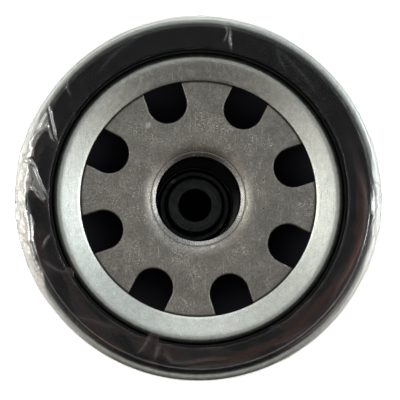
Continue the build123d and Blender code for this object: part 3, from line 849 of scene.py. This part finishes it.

# Creases in the film over the seam and gasket: points of angle in degrees and mm in from the seam's side,
# then the crease's height and half width in mm, and how whitened it is, partly a painted sheen along the
# fold.
CREASES = [
    ([(146.5, 0.7), (150, 2.6), (154.5, 4.8), (159, 6.7)], 0.50, 0.40, 0.75),
    ([(165, 1.2), (162, 1.7), (158, 2.2), (155, 3.3), (152, 3.0)], 0.40, 0.50, 0.40),
    ([(165.5, 0.6), (167.3, 1.2), (169.5, 3.9)], 0.50, 0.50, 0.80),
    ([(168.5, 3.0), (171.5, 4.2), (176, 5.6), (180.5, 6.9)], 0.45, 0.40, 0.80),
    ([(175.5, 2.9), (177.5, 3.9), (181.7, 5.8)], 0.40, 0.36, 0.70),
    ([(180, 2.9), (186, 2.7), (192, 2.5), (199, 2.2), (208, 1.9)], 0.40, 0.60, 0.30),
    ([(193.5, 6.4), (195.5, 5.2), (198, 3.9)], 0.34, 0.35, 0.35),
    ([(201, 3.0), (206, 4.6), (211, 6.8)], 0.22, 0.70, 0.10),
    ([(222, 2.4), (230, 4.6), (238, 6.2)], 0.16, 0.90, 0.07),
    ([(248.5, 3.2), (251, 6.9)], 0.24, 0.60, 0.12),
    ([(254.8, 2.8), (254.9, 6.9)], 0.24, 0.50, 0.12),
    ([(258, 6.2), (258.6, 4.6), (261, 3.4), (266, 3.6), (272, 4.4), (279, 4.2), (285, 3.4)],
     0.26, 0.70, 0.10),
    ([(262, 2.6), (270, 3.0), (280, 3.1), (290, 3.0)], 0.10, 1.00, 0.07),
    ([(293, 4.4), (302, 3.4), (312, 3.2)], 0.14, 0.90, 0.07),
    ([(318, 3.2), (328, 3.7), (338, 3.4), (349, 3.1), (359, 3.3), (6, 3.9), (11, 4.8)], 0.26, 0.75, 0.14),
    ([(296, 1.9), (312, 2.0), (326, 1.6)], 0.20, 0.45, 0.20),
    ([(348, 1.9), (358, 1.5), (5, 2.0)], 0.26, 0.45, 0.35),
    ([(40, 5.6), (52, 4.4), (66, 2.8)], 0.14, 0.80, 0.05),
    ([(54, 6.6), (60, 4.6), (63, 2.2)], 0.16, 0.60, 0.07),
    ([(77.5, 6.6), (79, 4.4), (79.5, 2.0)], 0.40, 0.40, 0.40),
    ([(81, 5.4), (80, 3.2), (82, 1.0)], 0.30, 0.35, 0.30),
    ([(108, 2.2), (120, 3.4), (130, 5.0)], 0.12, 0.80, 0.05),
    ([(136, 0.8), (140, 2.4), (142, 4.4)], 0.22, 0.50, 0.15),
]

# Patches where the film stands off the gasket and looks milky, partly a painted sheen: corners as above, and
# strength
PATCHES = [
    ([(150.2, 1.4), (151.0, 2.3), (155.0, 4.0), (159.0, 6.3), (158.4, 4.9), (156.1, 3.9), (157.1, 3.1),
      (159.9, 2.6), (163.5, 2.5), (166.1, 2.9), (166.4, 1.4)], 0.55),
    ([(167.2, 1.4), (166.7, 2.6), (169.2, 4.0), (172.6, 4.6), (180.4, 6.4), (181.6, 5.6), (178.0, 4.6),
      (177.5, 2.9), (173.5, 3.5), (170.5, 1.9)], 0.55),
    ([(184.0, 1.6), (185.5, 3.2), (189.0, 3.8), (191.5, 2.4), (198.0, 2.8), (203.0, 1.6)], 0.40),
    ([(352.0, 1.2), (355.0, 2.4), (1.0, 2.6), (6.0, 1.2)], 0.30),
]

# Tabs where the film's cut edge reaches in past the gasket: angle and half width in degrees, reach in mm
EDGE_TABS = [(210, 2.4, 0.9), (252, 2.6, 2.2), (148, 2.0, 0.5), (34, 2.4, 0.4), (300, 2.0, 0.3)]

# Loose, clouded stretches of the rim: middle and half width in degrees, mm that they reach in, strength
LOOSE_RIM = [(183, 36, 2.8, 1.0), (356, 26, 1.6, 0.75), (90, 34, 1.0, 0.35), (315, 20, 0.9, 0.3)]


def film_line():
    """Film's path from its opening under the can, up the side, over the seam and onto the gasket."""
    off = 0.12 * MM
    side, seam = CAN_RADIUS + off, SEAM_OUT + off
    opening = (FILM_END + 0.3 * MM, (FILM_END - REST_RADIUS) * CLOSED_END_RISE - off)
    corner = (side, (side - REST_RADIUS) * CLOSED_END_RISE - off)
    wall = rounded([opening, corner, (side, SEAM_LOW - 2 * MM)], [7 * MM + off], 10)
    top = rounded([(side, SEAM_LOW - 2 * MM), (seam, SEAM_LOW), (seam, SEAM_TOP - 0.1 * MM),
                   (GASKET_OUT - 0.1 * MM, FACE + 0.08 * MM), (GASKET_IN, FACE + 0.08 * MM)],
                  [2 * MM, 0.9 * MM, 0.8 * MM], 8)
    return np.concatenate([evened(wall, 1.0 * MM)[:-1], evened(top, 0.24 * MM)])


def turn_between(a, b):
    """Signed turn from b to a in degrees, for numbers or arrays."""
    return (a - b + 180) % 360 - 180


def beside(path, degrees, inward):
    """Distance in mm from a path, and the share of the path passed by, at points of angle and mm inward."""
    nearest, along = np.full_like(degrees, 1e3), np.zeros_like(degrees)
    for i, ((a0, in0), (a1, in1)) in enumerate(zip(path, path[1:])):
        per_degree = math.radians(1) * (SEAM_OUT / MM - (in0 + in1) / 2)
        start = np.stack([turn_between(degrees, a0) * per_degree, inward - in0])
        run = np.array([turn_between(a1, a0) * per_degree, in1 - in0])
        share = np.clip(np.tensordot(run, start, 1) / (run @ run), 0, 1)
        away = np.hypot(start[0] - run[0] * share, start[1] - run[1] * share)
        along = np.where(away < nearest, (i + share) / (len(path) - 1), along)
        nearest = np.minimum(nearest, away)
    return nearest, along


def patch_share(degrees, inward):
    """How far inside the loose patches the points lie, from 0 at their borders to each patch's strength."""
    total = np.zeros_like(degrees)
    for corners, strength in PATCHES:
        border = [*corners, corners[0]]
        inside = np.zeros(len(degrees), bool)
        turn = turn_between(degrees, corners[0][0])
        for (a0, in0), (a1, in1) in zip(border, border[1:]):
            if in0 != in1:
                meets = turn_between(a0, corners[0][0]) + (a1 - a0) * (inward - in0) / (in1 - in0)
                inside ^= ((in0 > inward) != (in1 > inward)) & (turn < meets)
        nearest, _ = beside(border, degrees, inward)
        total = np.maximum(total, strength * inside * np.clip(nearest / 0.22, 0, 1))
    return total


def crease_shape(degrees, inward):
    """Height in mm and whitening of the creases, partly a painted sheen, at points of angle and mm in from
    the seam's side.
    """
    height, fold_whitening_and_sheen = np.zeros_like(degrees), np.zeros_like(degrees)
    for path, rise, width, sheen in CREASES:
        nearest, along = beside(path, degrees, inward)
        taper = np.clip(np.minimum(along, 1 - along) / 0.25, 0.15, 1)
        height = np.maximum(height, rise * taper * np.clip(1 - nearest / width, 0, 1))
        fold_whitening_and_sheen = np.maximum(fold_whitening_and_sheen, sheen * taper * np.clip(1 - nearest / (0.55 * width), 0, 1) ** 1.3)
    return height, fold_whitening_and_sheen


def loose_share(degrees, inward):
    """How loose and clouded the film is, from 0 to 1."""
    total = np.zeros_like(degrees)
    for middle, half, reach_in, strength in LOOSE_RIM:
        along = np.clip(1 - np.abs(turn_between(degrees, middle) / half) ** 3, 0, 1)
        wavy = reach_in * along * (1 + 0.22 * np.sin(np.radians(degrees) * 23 + middle))
        total = np.maximum(total, strength * along * np.clip((wavy - inward) / 0.35, 0, 1))
    return total


def ragged_edge(degrees):
    """How far the film's inner edge reaches in past the gasket's edge, in mm."""
    around = [Vector((math.cos(a) * 9, math.sin(a) * 9, 2)) for a in np.radians(degrees)]
    out = np.array([0.25 * noise.noise(v) for v in around])
    for at, width, tab in EDGE_TABS:
        out += tab * np.clip(1 - np.abs(turn_between(degrees, at) / width) ** 3, 0, 1)
    return out


def make_film():
    line = film_line()
    side = -sideways(line)
    length = np.concatenate([[0], np.cumsum(np.linalg.norm(np.diff(line, axis=0), axis=1))])
    angle = np.arange(FILM_COLUMNS) * math.tau / FILM_COLUMNS
    degrees = np.degrees(angle)
    edge = ragged_edge(degrees) * MM
    points, clouds = [], []
    for (radius, height), (out, up), at in zip(line, side, length):
        on_top = min(1.0, max(0.0, (height - SEAM_LOW) / (2 * MM)))
        inward = np.full(FILM_COLUMNS, (SEAM_OUT - radius) / MM)
        flat = np.array([radius * np.cos(angle), radius * np.sin(angle), np.full_like(angle, height)]).T / MM
        facets = np.array([noise.voronoi(Vector(p) * 0.30)[0][:2] for p in flat])
        small = np.array([noise.voronoi(Vector(p) * 0.8 + Vector((41, 17, 5)))[0][:2] for p in flat])
        waves = np.array([noise.noise(Vector(p) * 0.16) for p in flat])
        cell = 0.7 * (facets[:, 1] - facets[:, 0]) + 0.35 * (small[:, 1] - small[:, 0])
        pulled = np.array([noise.noise(Vector((p[0] * 0.20, p[1] * 0.20, p[2] * 0.022 + 9))) for p in flat])
        pulled = np.clip(1 - 12 * np.abs(pulled), 0, 1) ** 2 * (1 - on_top) * min(1.0, height / (8 * MM))
        loose = loose_share(degrees, inward) * on_top
        lift = cell * (0.06 + 0.45 * loose + 0.10 * (1 - on_top)) + 0.12 * np.clip(waves, 0, 1)
        creases, fold_whitening_and_sheen = crease_shape(degrees, inward)
        milky_and_sheen = patch_share(degrees, inward) * on_top
        lift += creases * on_top + 0.07 * pulled + 0.22 * milky_and_sheen
        lift *= MM * min(1.0, at / (3 * MM))
        ring = radius + out * lift
        if height > FACE:
            ring -= edge * np.clip((GASKET_IN + 2 * MM - radius) / (2 * MM), 0, 1)
        ring = np.minimum(ring, FILM_OUT + 0.3 * MM)
        points.extend(zip(ring * np.cos(angle), ring * np.sin(angle), height + up * lift))
        # Partly painted sheen: the milky patches, and a faint one along the wrinkles on the can's side.
        milky_and_sheen = np.maximum(milky_and_sheen * (0.6 + 0.7 * cell), 0.03 * pulled)
        clouds.extend(np.maximum(loose * (0.45 + 0.8 * cell), np.maximum(fold_whitening_and_sheen * on_top, milky_and_sheen)))
    faces = grid_faces(len(line), FILM_COLUMNS)
    piece = new_piece("film", points, faces, "housing", "film", MATERIALS["film"], replaced=["shrink_film"],
                      sharp=180)
    if len(piece.data.vertices) != len(points):
        raise ValueError("the film's points were merged")
    piece.data.attributes.new("cloud", "FLOAT", "POINT").data.foreach_set("value", np.clip(clouds, 0, 1))
    thick = piece.modifiers.new("thickness", "SOLIDIFY")
    thick.thickness = FILM_SHEET
    thick.offset = 1.0
    return piece


# ---------------------------------------------------------------- carried-over CAD nodes


def dress_cad_nodes():
    """Gives each CAD node that stays its detailed material."""
    slots = {s["node"]: s["material_slot"] for s in frame["record"]["subparts"]}
    for name, node in frame["nodes"].items():
        if node.hide_render:
            continue
        if not node.material_slots:
            node.data.materials.append(None)
        for slot in node.material_slots:
            slot.material = MATERIALS[slots[name]]


# ---------------------------------------------------------------- stage, light and camera


FLOOR_HALF = 3.0
FLOOR_HEIGHT = -0.2 * MM


def add_floor():
    mesh = bpy.data.meshes.new("floor")
    signs = ((-1, -1), (1, -1), (1, 1), (-1, 1))
    corners = [(x * FLOOR_HALF, y * FLOOR_HALF, FLOOR_HEIGHT) for x, y in signs]
    mesh.from_pydata(corners, [], [(0, 1, 2, 3)])
    floor = bpy.data.objects.new("floor", mesh)
    bpy.context.scene.collection.objects.link(floor)
    material = bpy.data.materials.new("pale_floor")
    material.use_nodes = True
    shader = material.node_tree.nodes["Principled BSDF"]
    shader.inputs["Base Color"].default_value = (0.9, 0.9, 0.9, 1)
    shader.inputs["Roughness"].default_value = 0.9
    shader.inputs["Emission Color"].default_value = (1, 1, 1, 1)
    shader.inputs["Emission Strength"].default_value = 0.75
    mesh.materials.append(material)
    floor.visible_glossy = False


def add_light(name, place, size, power, colour=(1, 1, 1)):
    lamp = bpy.data.lights.new(name, "AREA")
    lamp.shape = "RECTANGLE"
    lamp.size, lamp.size_y = size
    lamp.energy = power
    lamp.color = colour
    light = bpy.data.objects.new(name, lamp)
    light.location = place
    light.rotation_mode = "QUATERNION"
    light.rotation_quaternion = (Vector((0, 0, FACE)) - Vector(place)).to_track_quat("-Z", "Y")
    bpy.context.scene.collection.objects.link(light)


def add_world():
    """Soft studio: dim above and towards -Y, with bright walls at the left, the right and +Y."""
    world = bpy.data.worlds.new("studio")
    world.use_nodes = True
    tree = Nodes(world.node_tree)
    x, y, z = tree.split(tree.add("ShaderNodeTexCoord").outputs["Generated"])
    away = tree.maths("ABSOLUTE", x)
    glow = tree.span(z, 0.35, 0.95, 0.09, 0.27, smooth=True)
    walls = tree.times(tree.span(away, 0.40, 1.0, smooth=True), tree.span(x, -0.1, 0.1, 1.25, 1.10))
    over = tree.times(tree.span(away, 0.0, 0.30, smooth=True), tree.span(z, 0.6, 0.95, 0.0, 0.22))
    beyond = tree.span(y, 0.15, 0.85, 0.0, 0.44, smooth=True)
    for part in (walls, over, beyond, tree.span(y, 0.74, 0.98, 0.0, 0.6), tree.span(x, 0.80, 1.0, 0.0, 0.6)):
        glow = tree.maths("ADD", glow, part)
    tint = tree.blend(tree.span(x, -0.5, 0.5), (1.0, 0.98, 0.94, 1), (0.96, 0.99, 1.0, 1))
    tint = tree.blend(tree.span(y, -0.6, 0.05), (1.0, 0.90, 0.84, 1), tint)
    background = tree.nodes["Background"]
    tree.feed(background.inputs["Color"], tint)
    tree.feed(background.inputs["Strength"], glow)
    bpy.context.scene.world = world


CAMERA_DISTANCE = 0.425
CAMERA_TILT = math.radians(1.7)
CAMERA_SIDE = math.radians(241)  # the side that the camera leans to, from +X
CAMERA_TARGET = (0.25 * MM, -0.45 * MM, FACE)
VIEW_WIDTH = 82.3 * MM  # at the gasket's face


def add_camera():
    lens = bpy.data.cameras.new("camera")
    camera = bpy.data.objects.new("camera", lens)
    bpy.context.scene.collection.objects.link(camera)
    lean = Vector((math.cos(CAMERA_SIDE), math.sin(CAMERA_SIDE), 0)) * math.sin(CAMERA_TILT)
    back = lean + Vector((0, 0, math.cos(CAMERA_TILT)))
    right = Vector((0, 1, 0)).cross(back).normalized()
    camera.location = Vector(CAMERA_TARGET) + back * CAMERA_DISTANCE
    camera.rotation_mode = "QUATERNION"
    camera.rotation_quaternion = Matrix((right, back.cross(right), back)).transposed().to_quaternion()
    lens.sensor_width = 36
    lens.lens = lens.sensor_width * CAMERA_DISTANCE / VIEW_WIDTH
    lens.clip_start, lens.clip_end = 0.01, 10
    bpy.context.scene.camera = camera


noise.seed_set(SEED)
bpy.context.scene.view_settings.view_transform = "Standard"

make_gasket()
make_lid()
make_plate()
make_can()
make_valve()
make_spring("element_spring", "support_spring", 3,
            (SPRING_IN, SPRING_OUT, SPRING_LOW, SPRING_TOP))
make_spring("relief_spring", "bypass_spring", 5,
            (COIL_IN, COIL_OUT, COIL_LOW, COIL_TOP))
make_film()
dress_cad_nodes()
add_floor()
add_world()
add_light("right", (0.60, 0.04, 0.24), (0.50, 0.16), 0.9)
add_light("left", (-0.60, 0.06, 0.24), (0.45, 0.16), 0.8, (1.0, 0.96, 0.90))
add_light("far", (-0.05, 0.62, 0.26), (0.5, 0.14), 0.4)
add_camera()
